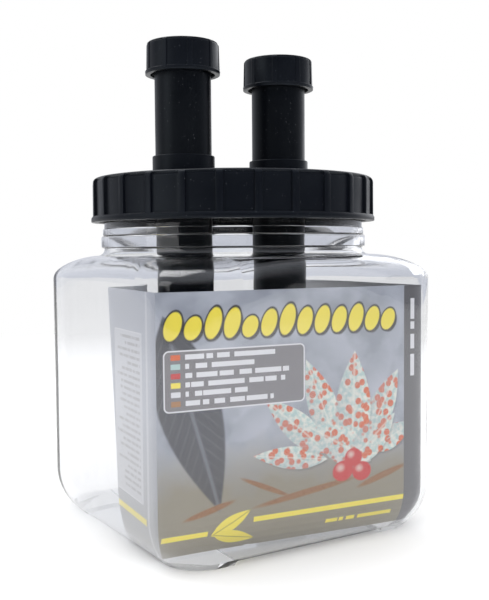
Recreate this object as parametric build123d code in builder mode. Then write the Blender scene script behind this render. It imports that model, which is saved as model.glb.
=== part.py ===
"""Feeder insect keeper: a square clear jar with a screw lid and two dispensing tubes.

All sizes are in millimetres.  +Z is up, the jar stands on z = 0 and its upright
axis is the Z axis.  The labelled front faces -Y and the two tubes stand on the
X axis, one each side of the jar's axis.
"""

from build123d import *
import math
import os

# ---------------------------------------------------------------- driving sizes
# Jar: blown clear plastic, square body, round neck.
body_width = 131.0          # across two opposite flat sides
body_corner_radius = 17.0   # upright corners
wall = 1.2                  # jar wall
shoulder_height = 117.5     # floor to the flat top of the shoulder
shoulder_radius = 10.5      # rolled edge between side and shoulder
base_sweep_radius = 26.0    # upright curve that draws the sides in at the base
base_sweep_height = 19.0    # where that curve begins
foot_height = 2.0           # depth of the recess between the four corner feet
foot_length = 30.0          # side of one corner foot, along each flat side
neck_radius = 57.0          # outside of the neck wall
neck_root_radius = 2.5      # hollow curve where the neck rises from the shoulder
neck_height = 30.25         # shoulder to the sealing rim

bead_rise = 0.6             # small bead low on the neck, out from the neck wall
bead_level = 5.0            # its centre above the shoulder
bead_thickness = 0.9
ring_rise = 1.3             # support ring below the lid, out from the neck wall
ring_level = 10.2           # its centre above the shoulder
ring_thickness = 2.7

# Screw lid, with grip ribs round its side.
lid_height = 19.0
lid_neck_gap = 2.0          # from the neck wall to the inside of the skirt
lid_side_thickness = 1.9    # side between the ribs
lid_rib_depth = 1.1         # ribs stand out from the side
lid_rib_width = 3.0
lid_rib_count = 26
lid_flange_rise = 0.5       # bottom flange, out from the ribs
lid_flange_thickness = 2.0
lid_edge_radius = 2.4       # rounded upper edge
lid_top_thickness = 1.8
lid_liner_thickness = 1.3   # foam sealing ring under the lid
lid_liner_width = 4.2

vent_hole_radius = 1.0
vent_hole_spacing = 6.0
vent_columns = 5
vent_rows = 3
vent_offset = 30.0          # from the lid's centre to the middle of a group

# Dispensing tubes, and the collars that guide them through the lid.
tube_spacing = 49.3         # between the two tube axes
tube_radius = 12.1
tube_wall = 1.3
tube_top_level = 203.0      # rim of the tube above the floor
tube_port_width = 12.0      # doorway that lets insects in at the foot of a tube
tube_port_height = 20.0

collar_wall = 1.2
collar_rise = 9.0           # above the lid's top
collar_lip = 0.5            # rounding of the collar's upper edge
collar_flange_width = 1.8   # flange that holds the collar under the lid
collar_flange_thickness = 1.0

# Screw caps on the tubes.
cap_radius = 15.3           # outside at the top, without ribs
cap_skirt_flare = 0.25      # how much wider the side is at the bottom
cap_lip_radius = 15.95      # thin lip round the bottom
cap_lip_thickness = 1.1
cap_height = 13.5
cap_edge_radius = 1.6
cap_top_thickness = 1.5
cap_bore_radius = 13.8
cap_rib_count = 9
cap_rib_width = 2.0
cap_rib_depth = 0.3
cap_liner_thickness = 1.0

left_cap_open = 2.3         # height by which the left cap is screwed up

# Folded printed card standing in the jar: a front panel, a flap along each side
# and a tab turned inwards from the left flap.
card_thickness = 0.4
card_clearance = 0.2        # between the folds and the jar's corners
card_bottom = 4.0
card_top = 104.5
card_left_angle = 9.8       # place of the left fold on its corner, from the flat side
card_right_angle = 74.1     # place of the right fold on its corner, from the flat side
card_left_flap = 56.0       # its length at the top
card_left_flap_slant = 12.0  # how much shorter it is at the bottom
card_right_flap = 98.0
card_tab = 25.0
card_tab_turn = 25.0        # direction of the tab, from the X axis
card_levels = 5             # steps in which the card follows the base curve

# Threads.
lid_pitch = 6.0
lid_thread_turns = 0.95
lid_thread_height = 1.3
lid_thread_root = 2.4
lid_thread_crest = 1.2
cap_pitch = 3.0
cap_thread_turns = 0.95
cap_thread_height = 1.1
cap_thread_root = 1.2
cap_thread_crest = 0.6
thread_bite = 0.3           # how far a thread is rooted into its wall

# Clearances.
running_clearance = 0.08    # tube in its collar
seat_clearance = 0.05       # parts that rest on each other
collar_clearance = 0.05     # collar in its hole in the lid
liner_clearance = 0.1       # liner inside its skirt

# ---------------------------------------------------------------- derived places
body_half = body_width / 2
floor_level = foot_height + wall
rim_level = shoulder_height + neck_height
bead_radius = neck_radius + bead_rise
ring_radius = neck_radius + ring_rise
lid_bore_radius = neck_radius + lid_neck_gap
lid_panel_radius = lid_bore_radius + lid_side_thickness
lid_rib_radius = lid_panel_radius + lid_rib_depth
lid_radius = lid_rib_radius + lid_flange_rise
lid_top_level = rim_level + lid_liner_thickness + 2 * seat_clearance + lid_top_thickness
lid_bottom_level = lid_top_level - lid_height
lid_ceiling_level = lid_top_level - lid_top_thickness
tube_offset = tube_spacing / 2
tube_bottom_level = floor_level + seat_clearance
collar_bore_radius = tube_radius + running_clearance
collar_radius = collar_bore_radius + collar_wall
collar_top_level = lid_top_level + collar_rise
collar_bottom_level = lid_ceiling_level - seat_clearance - collar_flange_thickness
cap_ceiling_level = tube_top_level + cap_liner_thickness + 2 * seat_clearance
cap_top_level = cap_ceiling_level + cap_top_thickness
cap_bottom_level = cap_top_level - cap_height
left_cap_turn = 360 * left_cap_open / cap_pitch

jar_thread_start = lid_bottom_level + lid_thread_root / 2 + lid_pitch / 2 + 1.0
tube_thread_start = cap_bottom_level + cap_thread_root / 2 + cap_pitch / 2 + 1.0


# ---------------------------------------------------------------- shared shapes
def base_inset(level):
    """How far the sides are drawn in at a level of the base curve."""
    rise = base_sweep_height - level
    return base_sweep_radius - math.sqrt(base_sweep_radius**2 - rise**2)


def body_section(level, shrink):
    """Rounded square of the jar at a level, made smaller all round by shrink."""
    inset = base_inset(min(level, base_sweep_height)) + shrink
    side = body_width - 2 * inset
    corner = body_corner_radius - shrink
    with BuildSketch(Plane.XY.offset(level)) as section:
        RectangleRounded(side, side, corner)
    return section.sketch


def jar_form(shrink, bottom):
    """Solid of the jar's body below the neck, made smaller all round by shrink."""
    steps = 5
    levels = [bottom + (base_sweep_height - bottom) * step / steps for step in range(steps + 1)]
    side = body_width - 2 * shrink
    with BuildPart() as form:
        for level in levels:
            add(body_section(level, shrink))
        loft()
        with BuildSketch(Plane.XY.offset(base_sweep_height)):
            RectangleRounded(side, side, body_corner_radius - shrink)
        extrude(amount=shoulder_height - shrink - base_sweep_height)
        top_edges = form.faces().sort_by(Axis.Z)[-1].edges()
        fillet(top_edges, shoulder_radius - shrink)
    return form.part


def thread_ridge(radius, height, root, crest, pitch, turns, start, outward):
    """One helical thread, rooted in a wall of the given radius."""
    side = 1 if outward else -1
    with BuildPart() as ridge:
        with BuildLine(Plane.XY.offset(start)) as path:
            Helix(pitch=pitch, height=pitch * turns, radius=radius)
        start_plane = Plane(origin=path.line @ 0, x_dir=(side, 0, 0), z_dir=path.line % 0)
        with BuildSketch(start_plane):
            with BuildLine():
                Polyline(
                    (-thread_bite, -root / 2),
                    (0, -root / 2),
                    (height, -crest / 2),
                    (height, crest / 2),
                    (0, root / 2),
                    (-thread_bite, root / 2),
                    close=True,
                )
            make_face()
        sweep(path=path.line, is_frenet=True)
    return ridge.part


def turned(points):
    """Solid of revolution about Z from a closed outline of radius and height."""
    with BuildPart() as solid:
        with BuildSketch(Plane.XZ):
            with BuildLine():
                Polyline(*points, close=True)
            make_face()
        revolve(axis=Axis.Z)
    return solid.part


# ---------------------------------------------------------------- jar
jar_outside = jar_form(0, 0)
jar_inside = jar_form(wall, floor_level)
jar_thread = thread_ridge(
    neck_radius,
    lid_thread_height,
    lid_thread_root,
    lid_thread_crest,
    lid_pitch,
    lid_thread_turns,
    jar_thread_start,
    True,
)
recess_width = body_width - 2 * foot_length

with BuildPart() as jar:
    add(jar_outside)
    with BuildSketch(Plane.XY.offset(shoulder_height - shoulder_radius)):
        Circle(neck_radius)
    extrude(amount=rim_level - shoulder_height + shoulder_radius)
    root_edges = jar.edges().filter_by(
        lambda edge: edge.length > 1
        and abs(edge.center().Z - shoulder_height) < shoulder_radius
        and abs(math.hypot((edge @ 0.5).X, (edge @ 0.5).Y) - neck_radius) < 0.01
    )
    fillet(root_edges, neck_root_radius)
    for bead_z, bead_r, bead_h in (
        (shoulder_height + bead_level, bead_radius, bead_thickness),
        (shoulder_height + ring_level, ring_radius, ring_thickness),
    ):
        with BuildSketch(Plane.XY.offset(bead_z - bead_h / 2)):
            Circle(bead_r)
        extrude(amount=bead_h)
    add(jar_inside, mode=Mode.SUBTRACT)
    with BuildSketch(Plane.XY.offset(shoulder_height - shoulder_radius)):
        Circle(neck_radius - wall)
    extrude(amount=rim_level, mode=Mode.SUBTRACT)
    with BuildSketch(Plane.XY):
        Rectangle(recess_width, 2 * body_width)
        Rectangle(2 * body_width, recess_width)
    extrude(amount=foot_height, mode=Mode.SUBTRACT)
    add(jar_thread)

# ---------------------------------------------------------------- label card
def turned_step(length, angle):
    """Step of a given length in the XY plane, in degrees from the X axis."""
    return Vector(length, 0).rotate(Axis.Z, angle)


def strip_outline(points, thickness):
    """Closed outline of a strip that follows the points and is thickened to their left."""
    steps = [end - start for start, end in zip(points, points[1:])]
    sides = [Vector(-step.Y, step.X).normalized() for step in steps]
    befores = [sides[0]] + sides
    afters = sides + [sides[-1]]
    inner = [
        point + (before + after) * (thickness / (1 + before.dot(after)))
        for point, before, after in zip(points, befores, afters)
    ]
    return points + inner[::-1]


corner_place = body_half - body_corner_radius
fold_radius = body_corner_radius - wall - card_clearance
left_fold = Vector(-corner_place, -corner_place) + turned_step(fold_radius, 180 + card_left_angle)
right_fold = Vector(corner_place, -corner_place) + turned_step(fold_radius, -card_right_angle)
flap_direction = Vector(left_fold.Y - right_fold.Y, right_fold.X - left_fold.X).normalized()
tab_end = left_fold + flap_direction * card_left_flap + turned_step(card_tab, card_tab_turn)


def card_points(level):
    """Outer folds and ends of the card at a level, from the tab to the right flap's end."""
    inset = base_inset(min(level, base_sweep_height))
    shortened = card_left_flap_slant * (card_top - level) / (card_top - card_bottom)
    left_end = left_fold + flap_direction * (card_left_flap - shortened)
    right_end = right_fold + flap_direction * card_right_flap
    return [
        tab_end,
        left_end + Vector(0.5, 0) * inset,
        left_fold + Vector(1, 1.3) * inset,
        right_fold + Vector(-0.5, 1.25) * inset,
        right_end + Vector(-1, 0) * inset,
    ]


card_rise = (base_sweep_height - card_bottom) / card_levels
with BuildPart() as label:
    for step in range(card_levels + 2):
        level = card_bottom + card_rise * step if step <= card_levels else card_top
        with BuildSketch(Plane.XY.offset(level)):
            with BuildLine():
                Polyline(*strip_outline(card_points(level), card_thickness), close=True)
            make_face()
    loft(ruled=True)

# ---------------------------------------------------------------- lid
def lid_side(radius):
    """Lid outline turned about Z: a plain side of the given radius, rounded above."""
    with BuildPart() as side:
        with BuildSketch(Plane.XY.offset(lid_bottom_level)):
            Circle(radius)
        extrude(amount=lid_height)
        fillet(side.edges().sort_by(Axis.Z)[-1], lid_edge_radius)
    return side.part


lid_thread = thread_ridge(
    lid_bore_radius,
    lid_thread_height,
    lid_thread_root,
    lid_thread_crest,
    lid_pitch,
    lid_thread_turns,
    jar_thread_start - lid_pitch / 2,
    False,
)
with BuildPart() as lid_ribs:
    with BuildSketch(Plane.XY.offset(lid_bottom_level)):
        with PolarLocations(lid_rib_radius, lid_rib_count):
            Rectangle(2 * (lid_rib_depth + lid_edge_radius), lid_rib_width)
    extrude(amount=lid_height)
    add(lid_side(lid_rib_radius), mode=Mode.INTERSECT)

with BuildPart() as lid:
    add(lid_side(lid_panel_radius))
    add(lid_ribs.part)
    with BuildSketch(Plane.XY.offset(lid_bottom_level)):
        Circle(lid_radius)
    extrude(amount=lid_flange_thickness)
    with BuildSketch(Plane.XY.offset(lid_bottom_level)):
        Circle(lid_bore_radius)
    extrude(amount=lid_height - lid_top_thickness, mode=Mode.SUBTRACT)
    with BuildSketch(Plane.XY.offset(lid_ceiling_level)):
        with Locations((-tube_offset, 0), (tube_offset, 0)):
            Circle(collar_radius + collar_clearance)
        for group_y in (-vent_offset, vent_offset):
            with Locations((0, group_y)):
                with GridLocations(vent_hole_spacing, vent_hole_spacing, vent_columns, vent_rows):
                    Circle(vent_hole_radius)
    extrude(amount=lid_top_thickness, mode=Mode.SUBTRACT)
    add(lid_thread)

liner_outer = lid_bore_radius - liner_clearance
with BuildPart() as lid_liner:
    with BuildSketch(Plane.XY.offset(rim_level + seat_clearance)):
        Circle(liner_outer)
        Circle(liner_outer - lid_liner_width, mode=Mode.SUBTRACT)
    extrude(amount=lid_liner_thickness)


# ---------------------------------------------------------------- tubes and caps
def build_collar(centre):
    """Bush that guides one tube: a sleeve with a flange under the lid."""
    with BuildPart() as collar:
        with BuildSketch(Plane.XY.offset(collar_bottom_level)):
            with Locations((centre, 0)):
                Circle(collar_radius)
        extrude(amount=collar_top_level - collar_bottom_level)
        fillet(collar.edges().sort_by(Axis.Z)[-1], collar_lip)
        with BuildSketch(Plane.XY.offset(collar_bottom_level)):
            with Locations((centre, 0)):
                Circle(collar_radius + collar_flange_width)
        extrude(amount=collar_flange_thickness)
        with BuildSketch(Plane.XY.offset(collar_bottom_level)):
            with Locations((centre, 0)):
                Circle(collar_bore_radius)
        extrude(amount=collar_top_level - collar_bottom_level, mode=Mode.SUBTRACT)
    return collar.part


def build_tube(centre):
    """Dispensing tube: open at both ends, doorways at its foot, thread at its top."""
    thread = thread_ridge(
        tube_radius,
        cap_thread_height,
        cap_thread_root,
        cap_thread_crest,
        cap_pitch,
        cap_thread_turns,
        tube_thread_start,
        True,
    )
    with BuildPart() as tube:
        with BuildSketch(Plane.XY.offset(tube_bottom_level)):
            Circle(tube_radius)
            Circle(tube_radius - tube_wall, mode=Mode.SUBTRACT)
        extrude(amount=tube_top_level - tube_bottom_level)
        with BuildSketch(Plane.XZ) as doorway:
            with Locations((0, tube_bottom_level)):
                Rectangle(tube_port_width, 2 * (tube_port_height - tube_port_width / 2))
            with Locations((0, tube_bottom_level + tube_port_height - tube_port_width / 2)):
                Circle(tube_port_width / 2)
        extrude(amount=2 * tube_radius, both=True, mode=Mode.SUBTRACT)
        add(thread)
    return tube.part.moved(Location((centre, 0, 0)))


def build_cap(centre, lift, turn):
    """Ribbed screw cap, with its inner thread, raised and turned on its tube."""
    bottom_radius = cap_radius + cap_skirt_flare
    thread = thread_ridge(
        cap_bore_radius,
        cap_thread_height,
        cap_thread_root,
        cap_thread_crest,
        cap_pitch,
        cap_thread_turns,
        tube_thread_start - cap_pitch / 2,
        False,
    )
    side = turned(
        (
            (0, cap_bottom_level),
            (bottom_radius, cap_bottom_level),
            (cap_radius, cap_top_level),
            (0, cap_top_level),
        )
    )
    ribbed = turned(
        (
            (0, cap_bottom_level),
            (bottom_radius + cap_rib_depth, cap_bottom_level),
            (cap_radius + cap_rib_depth, cap_top_level),
            (0, cap_top_level),
        )
    )
    with BuildPart() as ribs:
        add(ribbed)
        fillet(ribs.edges().sort_by(Axis.Z)[-1], cap_edge_radius)
        with BuildSketch(Plane.XY.offset(cap_bottom_level)):
            with PolarLocations(cap_radius, cap_rib_count):
                Rectangle(4 * cap_edge_radius, cap_rib_width)
        extrude(amount=cap_height, mode=Mode.INTERSECT)
    with BuildPart() as cap:
        add(side)
        fillet(cap.edges().sort_by(Axis.Z)[-1], cap_edge_radius)
        add(ribs.part)
        with BuildSketch(Plane.XY.offset(cap_bottom_level)):
            Circle(cap_lip_radius)
        extrude(amount=cap_lip_thickness)
        with BuildSketch(Plane.XY.offset(cap_bottom_level)):
            Circle(cap_bore_radius)
        extrude(amount=cap_height - cap_top_thickness, mode=Mode.SUBTRACT)
        add(thread)
    return cap.part.moved(Location((centre, 0, lift), (0, 0, turn)))


def build_cap_liner(centre, lift):
    """Sealing disc inside a cap."""
    with BuildPart() as liner:
        with BuildSketch(Plane.XY.offset(tube_top_level + seat_clearance + lift)):
            with Locations((centre, 0)):
                Circle(cap_bore_radius - liner_clearance)
        extrude(amount=cap_liner_thickness)
    return liner.part


pieces = {
    "jar": jar.part,
    "label": label.part,
    "lid": lid.part,
    "lid_liner": lid_liner.part,
}
for side_name, centre, lift, turn in (
    ("left", -tube_offset, left_cap_open, left_cap_turn),
    ("right", tube_offset, 0, 0),
):
    pieces[f"{side_name}_collar"] = build_collar(centre)
    pieces[f"{side_name}_tube"] = build_tube(centre)
    pieces[f"{side_name}_cap"] = build_cap(centre, lift, turn)
    pieces[f"{side_name}_cap_liner"] = build_cap_liner(centre, lift)

os.makedirs("parts", exist_ok=True)
for name, piece in pieces.items():
    piece.label = name
    export_step(piece, f"parts/{name}.step")
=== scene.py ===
"""Looks of the feeder insect keeper: clear square jar, printed card, black lid, tubes and caps.

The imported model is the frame.  Sizes are in millimetres in the dataclasses and
are turned into metres by MM where a mesh is made.  +Z is up, the front, where the
printed card stands, faces -Y and the two tubes stand on the X axis.
"""

import logging
import math
from contextlib import contextmanager
from dataclasses import dataclass, field, replace
from enum import Enum
from typing import Callable, Iterator

import bmesh
import bpy
from mathutils import Matrix, Vector

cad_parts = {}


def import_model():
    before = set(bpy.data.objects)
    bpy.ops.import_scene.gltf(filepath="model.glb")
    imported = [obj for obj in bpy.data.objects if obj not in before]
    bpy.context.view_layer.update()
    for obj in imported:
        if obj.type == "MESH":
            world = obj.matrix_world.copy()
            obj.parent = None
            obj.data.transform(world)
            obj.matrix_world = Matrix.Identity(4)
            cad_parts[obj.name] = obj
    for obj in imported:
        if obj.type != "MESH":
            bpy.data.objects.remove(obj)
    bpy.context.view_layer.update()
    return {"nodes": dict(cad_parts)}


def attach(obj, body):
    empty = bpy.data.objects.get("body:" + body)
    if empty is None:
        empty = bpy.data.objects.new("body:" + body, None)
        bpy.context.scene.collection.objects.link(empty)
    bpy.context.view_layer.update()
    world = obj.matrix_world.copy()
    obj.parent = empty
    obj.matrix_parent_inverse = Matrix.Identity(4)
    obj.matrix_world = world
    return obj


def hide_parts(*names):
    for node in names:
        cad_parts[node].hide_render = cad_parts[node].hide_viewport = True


logging.basicConfig(level=logging.INFO, format="%(name)s: %(message)s")
LOG = logging.getLogger("keeper")

MM = 0.001
IMAGE_HEIGHT = 600
SENSOR_MM = 36.0
CLIP_END = 20.0
SMOOTH_DEGREES = 40.0
DRILL_DEPTH = 10.0
# Points nearer than this many millimetres count as one.
TOUCH = 0.01

Piece = bpy.types.Object
Material = bpy.types.Material
Socket = bpy.types.NodeSocket
Sockets = bpy.types.bpy_prop_collection
Tree = bpy.types.NodeTree
Pair = tuple[float, float]
Colour = tuple[float, float, float, float]
Ramp = tuple[float, float, float, float]
Feed = Socket | float | Colour


# ---------------------------------------------------------------- mesh helpers
def only(piece: Piece) -> None:
    """Selects one object alone and makes it active."""
    bpy.ops.object.select_all(action="DESELECT")
    bpy.context.view_layer.objects.active = piece
    piece.select_set(True)


def newest(name: str) -> Piece:
    """Names the object that was just added, and returns it."""
    piece = bpy.context.active_object
    piece.name = name
    return piece


@contextmanager
def edit_mesh(piece: Piece) -> Iterator[None]:
    """Holds one object in edit mode, with nothing selected at the start.

    Args:
        piece: The mesh object to shape.
    """
    only(piece)
    bpy.ops.object.mode_set(mode="EDIT")
    bpy.ops.mesh.select_mode(type="VERT")
    bpy.ops.mesh.select_all(action="DESELECT")
    yield
    bpy.ops.object.mode_set(mode="OBJECT")


def select_all() -> None:
    """Selects the whole mesh, in edit mode."""
    bpy.ops.mesh.select_all(action="SELECT")


def outwards() -> None:
    """Makes a mesh's faces look outwards, in edit mode."""
    select_all()
    bpy.ops.mesh.normals_make_consistent(inside=False)


def flip() -> None:
    """Turns a mesh's faces the other way, in edit mode."""
    select_all()
    bpy.ops.mesh.flip_normals()


def pick(piece: Piece, kind: str, test: Callable[[object], bool]) -> None:
    """Selects the parts of a mesh that pass a test, in edit mode.

    Args:
        piece: The object in edit mode.
        kind: VERT, EDGE or FACE.
        test: Says yes or no to one vertex, edge or face.
    """
    bpy.ops.mesh.select_mode(type=kind)
    bpy.ops.mesh.select_all(action="DESELECT")
    mesh = bmesh.from_edit_mesh(piece.data)
    parts = {"VERT": mesh.verts, "EDGE": mesh.edges, "FACE": mesh.faces}[kind]
    for part in parts:
        part.select_set(test(part))
    mesh.select_flush_mode()
    bmesh.update_edit_mesh(piece.data)


def climb(rise: float) -> None:
    """Extrudes the selected loop upwards, by metres."""
    bpy.ops.mesh.extrude_edges_move(TRANSFORM_OT_translate={"value": (0, 0, rise)})


def widen(size: float, level: float) -> None:
    """Scales what is selected about the upright axis, at a level in metres."""
    bpy.ops.transform.resize(value=(size, size, 1), center_override=(0, 0, level))


def flatten(share: float, level: float) -> None:
    """Brings what is selected nearer to a level in metres, to a share of its distance."""
    bpy.ops.transform.resize(value=(1, 1, share), center_override=(0, 0, level))


def modify(piece: Piece, kind: str, **settings: object) -> None:
    """Adds a modifier, sets it up and applies it.

    Args:
        piece: The object to modify.
        kind: The modifier's type.
        settings: The modifier's properties.
    """
    modifier = piece.modifiers.new(kind.lower(), kind)
    for name, value in settings.items():
        setattr(modifier, name, value)
    only(piece)
    bpy.ops.object.modifier_apply(modifier=modifier.name)


def shade_smooth(piece: Piece, degrees: float) -> None:
    """Shades an object smooth, with edges kept sharp above an angle."""
    only(piece)
    bpy.ops.object.shade_smooth_by_angle(angle=math.radians(degrees))
    LOG.info("%s: %d faces", piece.name, len(piece.data.polygons))


def settle(piece: Piece) -> None:
    """Applies an object's place, turn and size to its mesh."""
    only(piece)
    bpy.ops.object.transform_apply(location=True, rotation=True, scale=True)


def stand(piece: Piece, x: float, turn: float) -> None:
    """Turns a piece about the upright axis, in degrees, and moves it along X, in millimetres."""
    piece.rotation_euler = (0, 0, math.radians(turn))
    piece.location = (x * MM, 0, 0)
    settle(piece)


# ---------------------------------------------------------------- node helpers
class Nodes:
    """A small hand for wiring nodes in one tree."""

    def __init__(self, tree: Tree) -> None:
        """Keeps the tree.

        Args:
            tree: The node tree to add nodes to.
        """
        self.tree = tree

    def add(self, kind: str, **settings: object) -> bpy.types.Node:
        """Adds a node and sets its properties.

        Args:
            kind: The node's class name.
            settings: Properties of the node.

        Returns:
            The new node.
        """
        node = self.tree.nodes.new(kind)
        for name, value in settings.items():
            setattr(node, name, value)
        return node

    def feed(self, socket: Socket, value: Feed) -> None:
        """Links a socket to an output, or sets its constant value."""
        if isinstance(value, Socket):
            self.tree.links.new(value, socket)
        else:
            socket.default_value = value

    def put(self, node: bpy.types.Node, **values: Feed) -> bpy.types.Node:
        """Feeds a node's inputs by name, with _ for a space, and returns the node.

        Args:
            node: The node.
            values: Inputs by name.

        Returns:
            The same node.
        """
        for name, value in values.items():
            self.feed(node.inputs[name.replace("_", " ")], value)
        return node

    def math(self, operation: str, *values: Feed, clamp: bool = False) -> Socket:
        """Adds a Math node.

        Args:
            operation: The Math operation.
            values: Its inputs, each a socket or a number.
            clamp: Whether the result is clamped to 0..1.

        Returns:
            The result socket.
        """
        node = self.add("ShaderNodeMath", operation=operation, use_clamp=clamp)
        for socket, value in zip(node.inputs, values):
            self.feed(socket, value)
        return node.outputs[0]

    def mix(self, factor: Feed, first: Feed, second: Feed) -> Socket:
        """Mixes two colours by a factor and returns the colour socket."""
        node = self.add("ShaderNodeMix", data_type="RGBA")
        for index, value in ((0, factor), (6, first), (7, second)):
            self.feed(node.inputs[index], value)
        return node.outputs[2]

    def blend(self, factor: Feed, first: Feed, second: Feed) -> Socket:
        """Mixes two numbers by a factor and returns the number's socket."""
        node = self.add("ShaderNodeMix", data_type="FLOAT")
        for index, value in ((0, factor), (2, first), (3, second)):
            self.feed(node.inputs[index], value)
        return node.outputs[0]

    def shaders(self, factor: Feed, first: bpy.types.Node, second: bpy.types.Node) -> Socket:
        """Mixes two shaders by a factor and returns the shader socket."""
        node = self.add("ShaderNodeMixShader")
        for index, value in enumerate((factor, first.outputs[0], second.outputs[0])):
            self.feed(node.inputs[index], value)
        return node.outputs[0]

    def noise(self, vector: Socket, scale: float, detail: float = 2.0) -> Socket:
        """Adds a Noise Texture and returns its value socket."""
        node = self.add("ShaderNodeTexNoise")
        return self.put(node, Vector=vector, Scale=scale, Detail=detail).outputs["Fac"]

    def cells(self, vector: Socket, scale: float) -> Socket:
        """Adds a Voronoi Texture and returns its distance socket."""
        node = self.add("ShaderNodeTexVoronoi")
        return self.put(node, Vector=vector, Scale=scale).outputs["Distance"]

    def chance(self, value: Socket) -> Socket:
        """A random number of 0..1 for each whole value."""
        node = self.add("ShaderNodeTexWhiteNoise", noise_dimensions="1D")
        return self.put(node, W=value).outputs["Value"]

    def remap(self, value: Socket, low: Feed, high: Feed, start: float = 0.0, end: float = 1.0) -> Socket:
        """Maps a value from one range to another, clamped."""
        node = self.add("ShaderNodeMapRange")
        for socket, number in zip(node.inputs, (value, low, high, start, end)):
            self.feed(socket, number)
        return node.outputs[0]

    def split(self, vector: Socket) -> Sockets:
        """A vector's three parts."""
        node = self.add("ShaderNodeSeparateXYZ")
        self.feed(node.inputs[0], vector)
        return node.outputs

    def join(self, across: Socket, up: Socket) -> Socket:
        """Joins two measures into a vector."""
        node = self.add("ShaderNodeCombineXYZ")
        self.feed(node.inputs[0], across)
        self.feed(node.inputs[1], up)
        return node.outputs[0]

    def length(self, vector: Socket) -> Socket:
        """A vector's length."""
        node = self.add("ShaderNodeVectorMath", operation="LENGTH")
        self.feed(node.inputs[0], vector)
        return node.outputs["Value"]

    def reach(self, vector: Socket, way: Pair, size: float) -> Socket:
        """How far a vector goes in a level direction, times a size."""
        node = self.add("ShaderNodeVectorMath", operation="DOT_PRODUCT")
        self.feed(node.inputs[0], vector)
        node.inputs[1].default_value = (way[0] * size, way[1] * size, 0)
        return node.outputs["Value"]

    def moved(self, place: Socket, x: float, y: float, turn: float = 0.0, half: Pair = (1, 1)) -> Socket:
        """A place as seen from a middle that is turned by degrees, in half sizes."""
        node = self.add("ShaderNodeMapping", vector_type="TEXTURE")
        self.put(node, Vector=place, Location=(x, y, 0), Rotation=(0, 0, math.radians(turn)))
        return self.put(node, Scale=(*half, 1)).outputs[0]

    def bump(self, shader: bpy.types.Node, height: Socket, strength: float, distance: float) -> None:
        """Bumps a shader's normal by a height."""
        node = self.put(self.add("ShaderNodeBump"), Strength=strength, Distance=distance, Height=height)
        self.put(shader, Normal=node.outputs[0])

    def group(self, tree: Tree, **values: Feed) -> Sockets:
        """Places a node group and feeds its inputs by name, with _ for a space.

        Args:
            tree: The group's node tree.
            values: Inputs by name.

        Returns:
            The group's outputs.
        """
        return self.put(self.add("ShaderNodeGroup", node_tree=tree), **values).outputs


def new_group(name: str, outputs: tuple[str, ...], **inputs: float) -> tuple:
    """Starts a shader node group that takes a place and numbers, and gives numbers.

    Args:
        name: The group's name.
        outputs: The outputs' names.
        inputs: The numbers' defaults by name, with _ for a space.

    Returns:
        The tree, a Nodes hand on it, its inputs to read and its outputs to feed.
    """
    tree = bpy.data.node_groups.new(name, "ShaderNodeTree")
    tree.interface.new_socket(name="Place", in_out="INPUT", socket_type="NodeSocketVector")
    for label, value in inputs.items():
        socket = tree.interface.new_socket(
            name=label.replace("_", " "), in_out="INPUT", socket_type="NodeSocketFloat"
        )
        socket.default_value = value
    for label in outputs:
        tree.interface.new_socket(name=label, in_out="OUTPUT", socket_type="NodeSocketFloat")
    hand = Nodes(tree)
    return tree, hand, hand.add("NodeGroupInput").outputs, hand.add("NodeGroupOutput").inputs


def new_material(name: str) -> tuple[Material, Nodes, bpy.types.Node, Socket, Socket]:
    """Starts a material that holds one Principled node.

    Args:
        name: The material's name.

    Returns:
        The material, a Nodes hand on its tree, the Principled node, the object
        coordinates and the output's surface socket.
    """
    material = bpy.data.materials.new(name)
    material.use_nodes = True
    tree = material.node_tree
    tree.nodes.clear()
    hand = Nodes(tree)
    surface = hand.add("ShaderNodeOutputMaterial").inputs["Surface"]
    shader = hand.add("ShaderNodeBsdfPrincipled")
    hand.feed(surface, shader.outputs[0])
    return material, hand, shader, hand.add("ShaderNodeTexCoord").outputs["Object"], surface


# ---------------------------------------------------------------- screw threads
@dataclass(frozen=True)
class ThreadSize:
    """The section and pitch of a screw thread, in millimetres, and how many turns it has."""

    height: float
    root: float
    crest: float
    pitch: float
    turns: float = 0.95
    bite: float = 0.2
    steps: int = 96
    smooth_degrees: float = 30.0

    def wind(
        self, name: str, wall: float, start: float, side: int, x: float = 0.0, turn: float = 0.0
    ) -> Piece:
        """Winds a thread on a round wall from one flat section.

        Args:
            name: The thread's name.
            wall: The wall's radius.
            start: The level that the thread starts at.
            side: 1 for a thread outside the wall, -1 for one inside it.
            x: Where its axis stands on X.
            turn: How far it is turned, in degrees.

        Returns:
            The thread as a mesh object.
        """
        middle = (wall + side * (self.height - self.bite) / 2) * MM
        level = start * MM
        bpy.ops.mesh.primitive_plane_add(size=1, location=(middle, 0, level))
        thread = newest(name)
        thread.rotation_euler = (math.pi / 2, 0, 0)
        thread.scale = ((self.height + self.bite) * MM, self.root * MM, 1)
        settle(thread)
        with edit_mesh(thread):
            pick(thread, "VERT", lambda vert: (vert.co.x - middle) * side > 0)
            flatten(self.crest / self.root, level)
        modify(
            thread,
            "SCREW",
            angle=self.turns * 2 * math.pi,
            screw_offset=self.turns * self.pitch * MM,
            steps=self.steps,
            render_steps=self.steps,
            use_smooth_shade=True,
        )
        with edit_mesh(thread):
            select_all()
            bpy.ops.mesh.remove_doubles(threshold=TOUCH * MM)
            pick(thread, "EDGE", lambda edge: edge.is_boundary)
            bpy.ops.mesh.edge_face_add()
            outwards()
        stand(thread, x, turn)
        shade_smooth(thread, self.smooth_degrees)
        return thread


LID_SCREW = ThreadSize(height=1.3, root=2.4, crest=1.2, pitch=6.0)
CAP_SCREW = ThreadSize(height=1.1, root=1.2, crest=0.6, pitch=3.0)


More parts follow.
